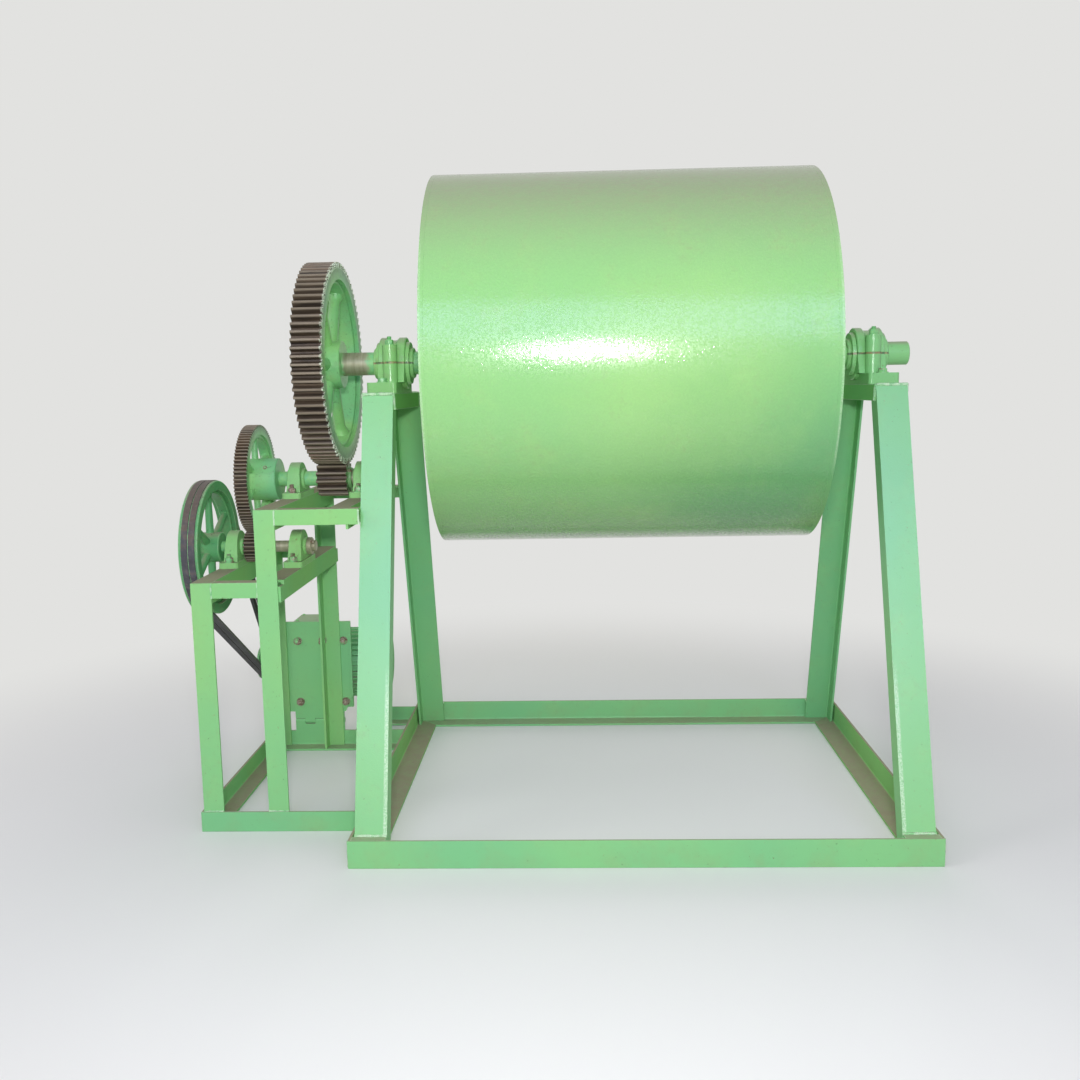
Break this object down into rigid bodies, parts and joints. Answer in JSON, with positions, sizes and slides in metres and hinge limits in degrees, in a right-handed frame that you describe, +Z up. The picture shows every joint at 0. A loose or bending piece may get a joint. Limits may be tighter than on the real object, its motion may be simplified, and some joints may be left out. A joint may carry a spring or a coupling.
{
  "type": "ball mill",
  "caption": "Horizontal ball mill: steel drum on a welded angle stand, turned by a bull gear and a two-stage countershaft drive from a belt pulley and motor.",
  "frame": {"origin": "centre of the bounding box at floor level", "axes": "+X along the drum axis from the drive to the free shaft end, +Y from the front to the back, +Z up"},
  "size_m": [1.869, 1.13, 1.62],
  "materials": {
    "green_paint": "glossy enamel over plate and rolled angle",
    "cast_paint": "glossy enamel over rough castings",
    "gear_iron": "greasy bare teeth, painted arms and rims",
    "shaft_steel": "dull bare steel with dust and paint overspray",
    "belt_rubber": "dusty rubber",
    "motor_paint": "satin enamel over cast fins"
  },
  "bodies": {
    "stand": {"base_rail_front": "green_paint", "base_rail_back": "green_paint", "base_rail_left": "green_paint", "base_rail_right": "green_paint", "leg_front_left": "green_paint", "leg_back_left": "green_paint", "leg_front_right": "green_paint", "leg_back_right": "green_paint", "foot_plates": "green_paint", "seat_beam_left": "green_paint", "seat_beam_right": "green_paint", "bearing_base_left": "cast_paint", "bearing_base_right": "cast_paint", "bearing_cap_left": "cast_paint", "bearing_cap_right": "cast_paint", "outer_posts": "green_paint", "inner_posts": "green_paint", "drive_base_front": "green_paint", "drive_base_back": "green_paint", "drive_base_left": "green_paint", "lower_rails": "green_paint", "upper_rails": "green_paint", "lower_bearing_beams": "green_paint", "upper_bearing_beams": "green_paint", "lower_blocks": "cast_paint", "upper_blocks": "cast_paint", "back_tie": "green_paint", "plate_hinge": "green_paint", "motor_plate": "green_paint", "motor": "motor_paint", "motor_pulley": "gear_iron", "belts": "belt_rubber"},
    "drum": {"drum_shell": "green_paint", "drum_end_left": "green_paint", "drum_end_right": "green_paint", "shaft_left": "shaft_steel", "shaft_right": "green_paint", "charging_cover": "green_paint", "bull_gear": "gear_iron"},
    "upper_countershaft": {"upper_shaft": "shaft_steel", "bull_pinion": "gear_iron", "second_gear": "gear_iron"},
    "lower_countershaft": {"lower_shaft": "shaft_steel", "small_pinion": "gear_iron", "belt_pulley": "cast_paint"}
  },
  "joints": [
    {"name": "drum_spin", "type": "hinge", "parent": "stand", "child": "drum", "pos_m": [0.212, 0, 1.15], "axis": [1, 0, 0], "continuous": true},
    {"name": "upper_shaft_spin", "type": "hinge", "parent": "stand", "child": "upper_countershaft", "pos_m": [-0.5885, 0, 0.84905], "axis": [1, 0, 0], "continuous": true},
    {"name": "lower_shaft_spin", "type": "hinge", "parent": "stand", "child": "lower_countershaft", "pos_m": [-0.7605, -0.045, 0.67293], "axis": [1, 0, 0], "continuous": true}
  ],
  "couplings": [
    {"joint": "upper_shaft_spin", "follows": "drum_spin", "ratio": -6.2308},
    {"joint": "lower_shaft_spin", "follows": "drum_spin", "ratio": 23.365}
  ]
}
